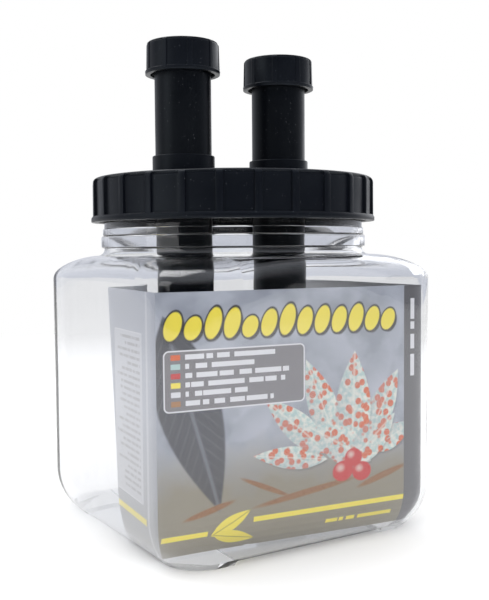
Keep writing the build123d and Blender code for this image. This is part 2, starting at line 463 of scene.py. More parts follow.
# ---------------------------------------------------------------- jar
@dataclass(frozen=True)
class Ring:
    """One level of the jar's skin: its height, half width and how round it is (0 square, 1 round)."""

    level: float
    half: float
    roundness: float


@dataclass
class JarForm:
    """Sizes of the jar in millimetres, and the levels its skin is raised through."""

    half: float = 65.5
    corner: float = 17.0
    wall: float = 1.2
    shoulder: float = 117.5
    shoulder_rise: float = 10.5
    base_sweep_radius: float = 26.0
    base_sweep_height: float = 19.0
    base_crowding: float = 1.4
    side_levels: Pair = (45.0, 75.0)
    foot_height: float = 2.0
    foot_edge: float = 35.5
    foot_step: float = 0.25
    neck: float = 57.0
    neck_root: float = 3.0
    rim: float = 147.75
    rim_ease: float = 0.35
    rim_lip: float = 0.4
    band_low: float = 120.7
    band_high: float = 125.9
    band_out: float = 1.3
    band_ease: float = 0.5
    step_high: float = 129.0
    step_out: float = 0.6
    step_ease: float = 0.25
    step_gap: float = 0.15
    hold: float = 0.2
    corner_segments: int = 14
    side_cuts: int = 15
    base_steps: int = 9
    shoulder_steps: int = 12
    root_steps: int = 4

    def base_inset(self, level: float) -> float:
        """How far the sides are drawn in at a level of the base curve."""
        rise = self.base_sweep_height - level
        return self.base_sweep_radius - math.sqrt(self.base_sweep_radius**2 - rise**2)

    def base_rings(self, shrink: float, bottom: float) -> list[Ring]:
        """Levels of the base curve, closer together near the bottom."""
        rings = []
        for step in range(self.base_steps + 1):
            part = (step / self.base_steps) ** self.base_crowding
            level = bottom + (self.base_sweep_height - bottom) * part
            rings.append(Ring(level, self.half - shrink - self.base_inset(level), 0.0))
        return rings

    def shoulder_rings(self, shrink: float) -> list[Ring]:
        """Levels that turn the square sides into the round foot of the neck."""
        start = self.shoulder - self.shoulder_rise
        inner = self.neck + self.neck_root - shrink
        rings = []
        for step in range(self.shoulder_steps + 1):
            turn = step / self.shoulder_steps * math.pi / 2
            part = 1 - math.cos(turn)
            rise = (self.shoulder_rise - shrink) * math.sin(turn)
            half = (1 - part) * (self.half - shrink) + part * inner
            rings.append(Ring(start + rise, half, part))
        return rings

    def collar_rings(self, low: float, high: float, out: float, ease: float) -> list[Ring]:
        """Levels of one band round the neck, with loops that hold its wall upright."""
        places = (
            (low, 0.35),
            (low + ease * 0.4, 0.85),
            (low + ease, 1.0),
            (low + ease + self.hold, 1.0),
            (high - ease - self.hold, 1.0),
            (high - ease * 0.5, 0.95),
            (high, 0.7),
        )
        return [Ring(level, self.neck + out * share, 1.0) for level, share in places]

    def neck_rings(self, shrink: float, dressed: bool) -> list[Ring]:
        """Levels of the neck: its root curve, and if dressed its wide band and the step above."""
        base = self.shoulder - shrink
        root = self.neck_root + shrink
        radius = self.neck - shrink
        rings = []
        for step in range(1, self.root_steps + 1):
            turn = step / self.root_steps * math.pi / 2
            reach = root * (1 - math.sin(turn))
            rings.append(Ring(base + root * (1 - math.cos(turn)), radius + reach, 1.0))
        if dressed:
            rings += self.collar_rings(self.band_low, self.band_high, self.band_out, self.band_ease)
            step_low = self.band_high + self.step_gap
            rings += self.collar_rings(step_low, self.step_high, self.step_out, self.step_ease)
            rings.append(Ring(self.step_high + self.step_gap, radius, 1.0))
            rings.append(Ring(self.step_high + self.step_gap + self.hold, radius, 1.0))
        rings.append(Ring(self.rim - self.rim_lip, radius, 1.0))
        rings.append(Ring(self.rim, radius + (-self.rim_ease if dressed else self.rim_ease), 1.0))
        return rings

    def skin_rings(self, shrink: float, bottom: float, dressed: bool) -> list[Ring]:
        """Every level of the skin, from the bottom to the rim."""
        straight = [Ring(level, self.half - shrink, 0.0) for level in self.side_levels]
        body = self.base_rings(shrink, bottom) + straight + self.shoulder_rings(shrink)
        return body + self.neck_rings(shrink, dressed)

    def raise_skin(self, name: str, shrink: float, bottom: float, dressed: bool) -> Piece:
        """Raises the jar's skin from a rounded square, level by level, open at the rim.

        Args:
            name: The new object's name.
            shrink: How far inside the jar's outside the skin runs.
            bottom: The level of its closed base.
            dressed: Whether the neck carries its band and step.

        Returns:
            The skin as a mesh object.
        """
        rings = self.skin_rings(shrink, bottom, dressed)
        bpy.ops.mesh.primitive_plane_add(size=2 * self.half * MM, location=(0, 0, 0))
        skin = newest(name)
        with edit_mesh(skin):
            select_all()
            bpy.ops.mesh.bevel(offset=self.corner * MM, segments=self.corner_segments, affect="VERTICES")
            pick(skin, "EDGE", lambda edge: edge.calc_length() > self.half * MM)
            bpy.ops.mesh.subdivide(number_cuts=self.side_cuts)
            bpy.ops.mesh.select_mode(type="EDGE")
            select_all()
            bpy.ops.transform.translate(value=(0, 0, rings[0].level * MM))
            self.fit_ring(skin, rings[0])
            roundness = 0.0
            for below, ring in zip(rings, rings[1:]):
                climb((ring.level - below.level) * MM)
                if ring.roundness > roundness and roundness < 1.0:
                    bpy.ops.transform.tosphere(value=(ring.roundness - roundness) / (1.0 - roundness))
                    roundness = ring.roundness
                self.fit_ring(skin, ring)
            outwards()
        self.face_outwards(skin)
        return skin

    def fit_ring(self, skin: Piece, ring: Ring) -> None:
        """Scales the selected loop about the jar's axis to the ring's half width."""
        mesh = bmesh.from_edit_mesh(skin.data)
        reach = max(vert.co.x for vert in mesh.verts if vert.select)
        widen(ring.half * MM / reach, ring.level * MM)

    def face_outwards(self, skin: Piece) -> None:
        """Turns an open skin's faces outwards, judged by one upright side face."""
        side = max(skin.data.polygons, key=lambda face: face.center.x)
        if side.normal.x < 0:
            with edit_mesh(skin):
                flip()


@dataclass
class Jar:
    """The clear jar: skin, cavity, feet and the thread on its neck."""

    form: JarForm = field(default_factory=JarForm)
    floor: float = 3.2
    thread_start: float = 137.15

    def build(self) -> Piece:
        """Builds the jar as one closed wall.

        Returns:
            The jar's mesh object.
        """
        outside = self.form.raise_skin("jar_clear", 0.0, 0.0, True)
        self.lift_base_between_feet(outside)
        inside = self.form.raise_skin("jar_cavity", self.form.wall, self.floor, False)
        with edit_mesh(inside):
            flip()
        only(outside)
        inside.select_set(True)
        bpy.ops.object.join()
        with edit_mesh(outside):
            rim = (self.form.rim - TOUCH) * MM
            pick(outside, "EDGE", lambda edge: all(vert.co.z > rim for vert in edge.verts))
            bpy.ops.mesh.bridge_edge_loops()
        shade_smooth(outside, SMOOTH_DEGREES)
        return outside

    def wind_thread(self) -> Piece:
        """Winds the thread outside the neck."""
        return LID_SCREW.wind("jar_thread", self.form.neck, self.thread_start, 1)

    def lift_base_between_feet(self, skin: Piece) -> None:
        """Raises the base between the corner feet, which leaves a step at each foot's end."""
        edge = self.form.foot_edge * MM
        step = self.form.foot_step * MM
        lift = self.form.foot_height * MM
        inner = edge - step / 2
        with edit_mesh(skin):
            for way in (Vector((1, 0, 0)), Vector((0, 1, 0))):
                for place in (-edge, -edge + step, edge - step, edge):
                    select_all()
                    bpy.ops.mesh.bisect(plane_co=way * place, plane_no=way)
            pick(
                skin,
                "VERT",
                lambda vert: vert.co.z < lift and (abs(vert.co.x) < inner or abs(vert.co.y) < inner),
            )
            flatten(0, lift)


# ---------------------------------------------------------------- lid and caps
@dataclass(frozen=True)
class RibbedShell:
    """A turned closure with upright grip ribs: its sizes in millimetres, about its own axis."""

    bottom: float
    height: float
    bore: float
    side_low: float
    side_high: float
    flange: float
    flange_thickness: float
    edge: float
    top_thickness: float
    ribs: int
    columns_per_rib: int
    rib_half_columns: int
    rib_depth: float
    soften: float
    panel_stop: float
    edge_steps: int = 6
    flange_ease: float = 0.35
    ledge_out: float = 0.25
    ledge_low: float = 0.15
    ledge_high: float = 0.6
    panel_start: float = 0.5
    soften_angle: float = 38.0

    def rings(self) -> list[Pair]:
        """Radius and level of every loop, from the ceiling down inside and up outside."""
        top = self.bottom + self.height
        ledge = self.bottom + self.flange_thickness
        loops = [
            (self.bore, top - self.top_thickness),
            (self.bore, self.bottom),
            (self.flange, self.bottom),
            (self.flange, ledge - self.flange_ease),
            (self.side_low + self.ledge_out, ledge + self.ledge_low),
            (self.side_low, ledge + self.ledge_high),
        ]
        for step in range(self.edge_steps + 1):
            angle = step / self.edge_steps * math.pi / 2
            radius = self.side_high - self.edge * (1 - math.cos(angle))
            loops.append((radius, top - self.edge * (1 - math.sin(angle))))
        return loops

    def build(self, name: str, x: float, turn: float) -> Piece:
        """Builds the closure as one closed mesh.

        Args:
            name: The closure's name.
            x: Where its axis stands on X.
            turn: Which way its first rib looks, in degrees from +X.

        Returns:
            The closure's mesh object.
        """
        loops = self.rings()
        radius, level = loops[0]
        bpy.ops.mesh.primitive_circle_add(
            vertices=self.ribs * self.columns_per_rib,
            radius=radius * MM,
            fill_type="NGON",
            location=(0, 0, level * MM),
        )
        shell = newest(name)
        settle(shell)
        with edit_mesh(shell):
            bpy.ops.mesh.select_mode(type="EDGE")
            select_all()
            bpy.ops.mesh.region_to_loop()
            for new_radius, new_level in loops[1:]:
                climb((new_level - level) * MM)
                widen(new_radius / radius, new_level * MM)
                radius, level = new_radius, new_level
            bpy.ops.mesh.edge_face_add()
            outwards()
            self.sink_panels(shell)
        stand(shell, x, turn - 90)
        modify(
            shell,
            "BEVEL",
            limit_method="ANGLE",
            angle_limit=math.radians(self.soften_angle),
            width=self.soften * MM,
            segments=2,
        )
        shade_smooth(shell, SMOOTH_DEGREES)
        return shell

    def sink_panels(self, shell: Piece) -> None:
        """Sinks the panels between the ribs, in edit mode; the first rib stands on +Y."""
        low = (self.bottom + self.flange_thickness + self.panel_start) * MM
        high = (self.bottom + self.height - self.panel_stop) * MM
        inner = (self.side_high - self.edge) * MM
        pitch = 2 * math.pi / self.ribs
        reach = pitch / self.columns_per_rib * self.rib_half_columns

        def on_panel(face: bmesh.types.BMFace) -> bool:
            middle = face.calc_center_median()
            if not low < middle.z < high or math.hypot(middle.x, middle.y) < inner:
                return False
            angle = (math.atan2(middle.x, middle.y) + pitch / 2) % pitch - pitch / 2
            return abs(angle) > reach

        pick(shell, "FACE", on_panel)
        bpy.ops.mesh.extrude_region_shrink_fatten(TRANSFORM_OT_shrink_fatten={"value": -self.rib_depth * MM})


LID = RibbedShell(
    bottom=131.95,
    height=19.0,
    bore=59.0,
    side_low=61.95,
    side_high=61.95,
    flange=62.5,
    flange_thickness=2.0,
    edge=2.4,
    top_thickness=1.8,
    ribs=26,
    columns_per_rib=10,
    rib_half_columns=1,
    rib_depth=1.05,
    soften=0.22,
    panel_stop=0.75,
)
CAP = RibbedShell(
    bottom=192.1,
    height=13.5,
    bore=13.8,
    side_low=15.8,
    side_high=15.58,
    flange=15.95,
    flange_thickness=1.1,
    edge=1.6,
    top_thickness=1.5,
    ribs=9,
    columns_per_rib=20,
    rib_half_columns=2,
    rib_depth=0.28,
    soften=0.1,
    panel_stop=0.6,
)


@dataclass(frozen=True)
class Hole:
    """A round hole through a top: its place on X and Y, its radius and how many sides it has."""

    x: float
    y: float
    radius: float
    sides: int

    def drill(self, level: float) -> Piece:
        """Adds the drill that cuts the hole, about a level in millimetres."""
        bpy.ops.mesh.primitive_cylinder_add(
            vertices=self.sides,
            radius=self.radius * MM,
            depth=DRILL_DEPTH * MM,
            location=(self.x * MM, self.y * MM, level * MM),
        )
        return newest("drill")


@dataclass(frozen=True)
class Closures:
    """The screw lid and the two tube caps, with their inside threads.  The left cap is partly unscrewed."""

    tube_offset: float = 24.65
    collar_hole: float = 13.43
    collar_sides: int = 96
    vent_radius: float = 1.0
    vent_sides: int = 20
    vent_spacing: float = 6.0
    vent_offset: float = 30.0
    vent_columns: int = 2
    vent_rows: int = 1
    top_level: float = 150.0
    lid_turn: float = -1.3
    lid_thread_start: float = 134.15
    cap_thread_start: float = 193.7
    left_cap_lift: float = 2.3
    left_cap_turn: float = 293.0
    right_cap_turn: float = -9.5

    def build_lid(self) -> Piece:
        """Builds the lid with its collar holes and vent holes."""
        lid = LID.build("lid_shell", 0.0, self.lid_turn)
        holes = [Hole(side * self.tube_offset, 0.0, self.collar_hole, self.collar_sides) for side in (-1, 1)]
        for side in (-1, 1):
            for column in range(-self.vent_columns, self.vent_columns + 1):
                for row in range(-self.vent_rows, self.vent_rows + 1):
                    y = side * self.vent_offset + row * self.vent_spacing
                    holes.append(Hole(column * self.vent_spacing, y, self.vent_radius, self.vent_sides))
        self.cut(lid, holes)
        return lid

    def cut(self, lid: Piece, holes: list[Hole]) -> None:
        """Cuts upright round holes through the lid's top."""
        drills = [hole.drill(self.top_level) for hole in holes]
        joined = drills[0]
        only(joined)
        for drill in drills:
            drill.select_set(True)
        bpy.ops.object.join()
        settle(joined)
        modify(lid, "BOOLEAN", operation="DIFFERENCE", solver="EXACT", object=joined)
        bpy.data.objects.remove(joined)
        shade_smooth(lid, SMOOTH_DEGREES)

    def build_caps(self) -> tuple[Piece, Piece]:
        """Builds the left and the right tube cap."""
        raised = replace(CAP, bottom=CAP.bottom + self.left_cap_lift)
        left = raised.build("left_cap_shell", -self.tube_offset, self.left_cap_turn)
        return left, CAP.build("right_cap_shell", self.tube_offset, self.right_cap_turn)

    def wind_lid_thread(self) -> Piece:
        """Winds the thread inside the lid."""
        return LID_SCREW.wind("lid_thread", LID.bore, self.lid_thread_start, -1)

    def wind_cap_threads(self) -> tuple[Piece, Piece]:
        """Winds the threads inside the left and the right tube cap."""
        start = self.cap_thread_start + self.left_cap_lift
        turn = 360 * self.left_cap_lift / CAP_SCREW.pitch
        left = CAP_SCREW.wind("left_cap_thread", CAP.bore, start, -1, -self.tube_offset, turn)
        return left, CAP_SCREW.wind("right_cap_thread", CAP.bore, self.cap_thread_start, -1, self.tube_offset)


# ---------------------------------------------------------------- camera
@dataclass(frozen=True)
class View:
    """Where the camera stands and looks, in millimetres and degrees, and its focal length in pixels."""

    azimuth: float = 31.26
    yaw: float = 31.95
    distance: float = 400.0
    height: float = 120.66
    pitch: float = 3.37
    roll: float = -0.44
    focal_pixels: float = 891.5

    def place(self) -> Vector:
        """The camera's place in metres."""
        turn = math.radians(self.azimuth)
        reach = self.distance * MM
        return Vector((-reach * math.sin(turn), -reach * math.cos(turn), self.height * MM))

    def look(self) -> Vector:
        """The direction the camera looks in."""
        turn = math.radians(self.yaw)
        tilt = math.radians(self.pitch)
        flat = math.cos(tilt)
        return Vector((math.sin(turn) * flat, math.cos(turn) * flat, -math.sin(tilt)))

    def add_camera(self) -> None:
        """Adds the camera and makes it the scene's."""
        bpy.ops.object.camera_add(location=self.place())
        shot = newest("camera")
        shot.rotation_mode = "QUATERNION"
        turn = self.look().to_track_quat("-Z", "Y")
        roll = Matrix.Rotation(math.radians(self.roll), 3, "Z")
        shot.rotation_quaternion = (turn.to_matrix() @ roll).to_quaternion()
        shot.data.sensor_width = SENSOR_MM
        shot.data.lens = self.focal_pixels * SENSOR_MM / IMAGE_HEIGHT
        shot.data.clip_end = CLIP_END
        bpy.context.scene.camera = shot


# ---------------------------------------------------------------- finishes
def linear(red: int, green: int, blue: int) -> Colour:
    """Turns a display colour of 0..255 into a scene colour."""
    parts = []
    for value in (red, green, blue):
        part = value / 255
        parts.append(part / 12.92 if part <= 0.04045 else ((part + 0.055) / 1.055) ** 2.4)
    return (*parts, 1.0)


class Shared:
    """Node groups that several finishes share.  Each is made once."""

    def __init__(self) -> None:
        """Makes the groups."""
        self.grain = self.make_grain()
        self.oval = self.make_oval()
        self.leaf = self.make_leaf()
        self.panel = self.make_panel()
        self.lines = self.make_lines()
        self.seeds = self.make_seeds()

    def make_grain(self) -> Tree:
        """Moulded plastic: an uneven gloss, a fine skin and small dust specks."""
        sizes = {"Gloss_Low": 0.3, "Gloss_High": 0.45, "Dust": 0.74}
        tree, hand, given, made = new_group("moulded_grain", ("Roughness", "Height", "Dust"), **sizes)
        place, low, dust = given["Place"], given["Gloss Low"], given["Dust"]
        patch = hand.remap(hand.noise(place, scale=55.0, detail=3.0), 0.3, 0.7)
        span = hand.math("SUBTRACT", given["Gloss High"], low)
        hand.feed(made["Roughness"], hand.math("MULTIPLY_ADD", patch, span, low))
        hand.feed(made["Height"], hand.noise(place, scale=2600.0))
        specks = hand.noise(place, scale=2300.0, detail=0.0)
        hand.feed(made["Dust"], hand.remap(specks, dust, hand.math("ADD", dust, 0.03)))
        return tree

    def make_oval(self) -> Tree:
        """Unit disc in its own place, with a soft edge."""
        tree, hand, given, made = new_group("oval", ("Mask",), Edge=0.08)
        gap = hand.math("SUBTRACT", 1.0, hand.length(given["Place"]))
        hand.feed(made["Mask"], hand.math("DIVIDE", gap, given["Edge"], clamp=True))
        return tree

    def make_leaf(self) -> Tree:
        """Pointed leaf along X from -1 to 1, with a mid vein and side veins."""
        tree, hand, given, made = new_group("leaf", ("Mask", "Vein", "Shade"), Edge=0.12)
        along, across, _ = hand.split(given["Place"])
        skew = hand.math("MAXIMUM", hand.math("MULTIPLY_ADD", along, -0.22, 1.0), 0.0)
        fullness = hand.math("SUBTRACT", 1.0, hand.math("MULTIPLY", along, along))
        side = hand.math("ABSOLUTE", across)
        gap = hand.math("SUBTRACT", hand.math("MULTIPLY", fullness, skew), side)
        hand.feed(made["Mask"], hand.math("DIVIDE", gap, given["Edge"], clamp=True))
        middle = hand.remap(side, 0.03, 0.09, 1.0, 0.0)
        wave = hand.math("MULTIPLY_ADD", side, -0.45, along)
        comb = hand.math("PINGPONG", hand.math("MULTIPLY", wave, 7.0), 0.5)
        hand.feed(made["Vein"], hand.math("MAXIMUM", middle, hand.remap(comb, 0.0, 0.1, 0.55, 0.0)))
        hand.feed(made["Shade"], hand.remap(across, -1.0, 1.0))
        return tree

    def make_panel(self) -> Tree:
        """Rounded box about the origin: its inside and its outline."""
        sizes = {"Half_Width": 10.0, "Half_Height": 5.0, "Radius": 1.0, "Line": 0.4}
        tree, hand, given, made = new_group("panel", ("Inside", "Outline"), **sizes)
        radius = given["Radius"]
        reaches = []
        for part, name in zip(hand.split(given["Place"]), ("Half Width", "Half Height")):
            inner = hand.math("SUBTRACT", given[name], radius)
            reaches.append(hand.math("SUBTRACT", hand.math("ABSOLUTE", part), inner))
        outer = hand.length(hand.join(*(hand.math("MAXIMUM", reach, 0.0) for reach in reaches)))
        deep = hand.math("MINIMUM", hand.math("MAXIMUM", *reaches), 0.0)
        gap = hand.math("SUBTRACT", radius, hand.math("ADD", outer, deep))
        inside = hand.math("MULTIPLY", gap, 6.0, clamp=True)
        rim = hand.math("MULTIPLY", hand.math("SUBTRACT", given["Line"], gap), 6.0, clamp=True)
        hand.feed(made["Inside"], inside)
        hand.feed(made["Outline"], hand.math("MULTIPLY", rim, inside))
        return tree

    def make_lines(self) -> Tree:
        """Rows of plain bars below the origin, ragged at their ends, with gaps between them."""
        sizes = {"Pitch": 3.0, "Height": 1.4, "Length": 30.0, "Rows": 6.0, "Word": 5.0}
        tree, hand, given, made = new_group("bar_rows", ("Mask",), **sizes)
        across, up, _ = hand.split(given["Place"])
        down = hand.math("DIVIDE", hand.math("MULTIPLY", up, -1.0), given["Pitch"])
        row = hand.math("FLOOR", down)
        part = hand.math("MULTIPLY", hand.math("FRACT", down), given["Pitch"])
        share = hand.math("MULTIPLY_ADD", hand.chance(row), 0.45, 0.55)
        step = hand.math("MULTIPLY_ADD", row, 13.7, hand.math("DIVIDE", across, given["Word"]))
        words = hand.put(hand.add("ShaderNodeTexNoise", noise_dimensions="1D"), W=step, Scale=1.0, Detail=0.0)
        tests = (
            hand.math("GREATER_THAN", across, 0.0),
            hand.math("LESS_THAN", across, hand.math("MULTIPLY", share, given["Length"])),
            hand.math("GREATER_THAN", down, 0.0),
            hand.math("LESS_THAN", row, given["Rows"]),
            hand.math("GREATER_THAN", words.outputs["Fac"], 0.36),
        )
        mask = hand.math("LESS_THAN", part, given["Height"])
        for test in tests:
            mask = hand.math("MULTIPLY", mask, test)
        hand.feed(made["Mask"], mask)
        return tree

    def make_seeds(self) -> Tree:
        """Row of slanted seeds along X, from the origin on, each of its own size."""
        sizes = {"Pitch": 8.0, "Half_Width": 3.0, "Half_Height": 5.5, "Count": 13.0, "Slant": 0.22}
        tree, hand, given, made = new_group("seed_row", ("Gap",), **sizes)
        across, up, _ = hand.split(given["Place"])
        upright = hand.math("SUBTRACT", across, hand.math("MULTIPLY", up, given["Slant"]))
        count = hand.math("DIVIDE", upright, given["Pitch"])
        cell = hand.math("FLOOR", count)
        middle = hand.math("SUBTRACT", hand.math("FRACT", count), 0.5)
        local = hand.math("MULTIPLY", middle, given["Pitch"])
        grow = hand.math("MULTIPLY_ADD", hand.chance(cell), 0.35, 0.7)
        tall = hand.math("MULTIPLY", given["Half Height"], grow)
        lifted = hand.math("ADD", up, hand.math("SUBTRACT", given["Half Height"], tall))
        level = hand.math("DIVIDE", lifted, tall)
        reach = hand.length(hand.join(hand.math("DIVIDE", local, given["Half Width"]), level))
        gap = hand.math("SUBTRACT", 1.0, reach)
        begun = hand.math("GREATER_THAN", cell, -0.5)
        inside = hand.math("MULTIPLY", begun, hand.math("LESS_THAN", cell, given["Count"]))
        hand.feed(made["Gap"], hand.math("MULTIPLY_ADD", inside, hand.math("ADD", gap, 1.0), -1.0))
        return tree


@dataclass(frozen=True)
class BlackPlastic:
    """Black moulded plastic: how glossy it is and how much dust shows on it."""

    name: str
    shade: float
    gloss_high: float
    skin: float
    dust: float
    gloss_low: float = 0.3
    skin_depth: float = 0.0001
    specular: float = 0.2
    hue: tuple[float, float, float] = (1.0, 1.3, 2.4)
    sheen: Colour = (0.78, 0.9, 1.0, 1.0)
    dusty: Colour = (0.09, 0.094, 0.105, 1.0)

    def make(self, shared: Shared) -> Material:
        """Makes the material.

        Args:
            shared: The shared node groups.

        Returns:
            The material.
        """
        material, hand, shader, place, _ = new_material(self.name)
        gloss = {"Gloss_Low": self.gloss_low, "Gloss_High": self.gloss_high}
        grain = hand.group(shared.grain, Place=place, Dust=self.dust, **gloss)
        black = (*(self.shade * part for part in self.hue), 1.0)
        hand.put(shader, Base_Color=hand.mix(grain["Dust"], black, self.dusty), Roughness=grain["Roughness"])
        hand.put(shader, Specular_IOR_Level=self.specular, Specular_Tint=self.sheen)
        hand.bump(shader, grain["Height"], self.skin, self.skin_depth)
        return material


@dataclass(frozen=True)
class ClearPlastic:
    """Clear blown plastic with a faint waviness."""

    name: str = "clear_blown_plastic"
    tint: Colour = (0.955, 0.96, 0.972, 1.0)
    shadow_tint: Colour = (0.97, 0.975, 0.98, 1.0)
    index: float = 1.5
    roughness: Ramp = (0.35, 0.75, 0.015, 0.05)
    wave_stretch: float = 0.35

    def make(self) -> Material:
        """Makes the material, which lets light through in shadow rays.

        Returns:
            The material.
        """
        material, hand, shader, place, surface = new_material(self.name)
        hand.put(shader, Base_Color=self.tint, Transmission_Weight=1.0, IOR=self.index)
        hand.put(shader, Roughness=hand.remap(hand.noise(place, scale=30.0), *self.roughness))
        stretched = hand.put(hand.add("ShaderNodeMapping"), Vector=place, Scale=(1.0, 1.0, self.wave_stretch))
        waves = hand.noise(stretched.outputs[0], scale=70.0, detail=1.0)
        hand.bump(shader, waves, strength=0.1, distance=0.001)
        clear = hand.put(hand.add("ShaderNodeBsdfTransparent"), Color=self.shadow_tint)
        path = hand.add("ShaderNodeLightPath").outputs
        hand.feed(surface, hand.shaders(path["Is Shadow Ray"], shader, clear))
        return material


@dataclass(frozen=True)
class Foam:
    """Pale closed-cell foam of the sealing liners."""

    name: str = "sealing_foam"
    pale: Colour = (0.78, 0.78, 0.76, 1.0)
    grey: Colour = (0.66, 0.66, 0.64, 1.0)

    def make(self) -> Material:
        """Makes the material.

        Returns:
            The material.
        """
        material, hand, shader, place, _ = new_material(self.name)
        shade = hand.remap(hand.noise(place, scale=90.0), 0.3, 0.7)
        hand.put(shader, Base_Color=hand.mix(shade, self.pale, self.grey), Roughness=0.85)
        hand.bump(shader, hand.cells(place, scale=1600.0), strength=0.35, distance=0.0003)
        return material


# ---------------------------------------------------------------- printed card
@dataclass(frozen=True)
class Mark:
    """One oval or leaf of the print: its middle, turn and half sizes, in millimetres and degrees."""

    x: float
    y: float
    turn: float
    length: float
    width: float


@dataclass(frozen=True)
class Band:
    """One upright rounded box of the print: its middle, half sizes, corners and outline, in millimetres."""

    x: float
    y: float
    half_width: float
    half_height: float
    radius: float = 0.1
    line: float = 0.4


@dataclass(frozen=True)
class Rows:
    """Rows of bars: where they begin, their sizes in millimetres, how many and their turn in degrees."""

    x: float
    y: float
    pitch: float
    height: float
    length: float
    word: float
    count: float = 0.5
    turn: float = 0.0


class Side(Enum):
    """The faces of the card, each with the level direction that it is measured along."""

    FRONT = (0.10527, 0.99444)
    FLAPS = (0.99444, -0.10527)


class Press:
    """Prints layer over layer on one face of the card."""

    def __init__(self, hand: Nodes, shared: Shared, place: Socket, colour: Socket) -> None:
        """Keeps what the layers need.

        Args:
            hand: The hand on the card's tree.
            shared: The shared node groups.
            place: The place on the face, in millimetres.
            colour: The ground colour.
        """
        self.hand = hand
        self.shared = shared
        self.place = place
        self.colour = colour

    def lay(self, mask: Socket, tone: Feed, share: float = 1.0) -> None:
        """Lays a tone over the print where a mask says, at a share of its full strength."""
        if share < 1.0:
            mask = self.hand.math("MULTIPLY", mask, share)
        self.colour = self.hand.mix(mask, self.colour, tone)

    def toned(self, mask: Socket, share: float, first: Feed, second: Feed) -> Socket:
        """Mixes two tones by a share of a mask."""
        return self.hand.mix(self.hand.math("MULTIPLY", mask, share), first, second)

    def at(self, mark: Mark) -> Socket:
        """The place as seen from a mark's middle, in its half sizes."""
        return self.hand.moved(self.place, mark.x, mark.y, mark.turn, (mark.length, mark.width))

    def oval(self, mark: Mark, edge: float) -> Socket:
        """Mask of an oval mark."""
        return self.hand.group(self.shared.oval, Place=self.at(mark), Edge=edge)["Mask"]

    def leaf(self, mark: Mark, edge: float) -> Sockets:
        """Mask, veins and shade of a leaf."""
        return self.hand.group(self.shared.leaf, Place=self.at(mark), Edge=edge)

    def panel(self, band: Band) -> Sockets:
        """Inside and outline of a box."""
        sizes = {"Half_Width": band.half_width, "Half_Height": band.half_height, "Radius": band.radius}
        place = self.hand.moved(self.place, band.x, band.y)
        return self.hand.group(self.shared.panel, Place=place, Line=band.line, **sizes)

    def rows(self, rows: Rows) -> Socket:
        """Mask of rows of bars."""
        sizes = {"Pitch": rows.pitch, "Height": rows.height, "Length": rows.length, "Word": rows.word}
        place = self.hand.moved(self.place, rows.x, rows.y, rows.turn)
        return self.hand.group(self.shared.lines, Place=place, Rows=rows.count, **sizes)["Mask"]

    def seeds(self, x: float, y: float) -> Socket:
        """Depth inside a row of seeds that begins at a place."""
        sizes = {"Pitch": 7.9, "Half_Width": 3.5, "Half_Height": 6.2}
        place = self.hand.moved(self.place, x, y)
        return self.hand.group(self.shared.seeds, Place=place, **sizes)["Gap"]


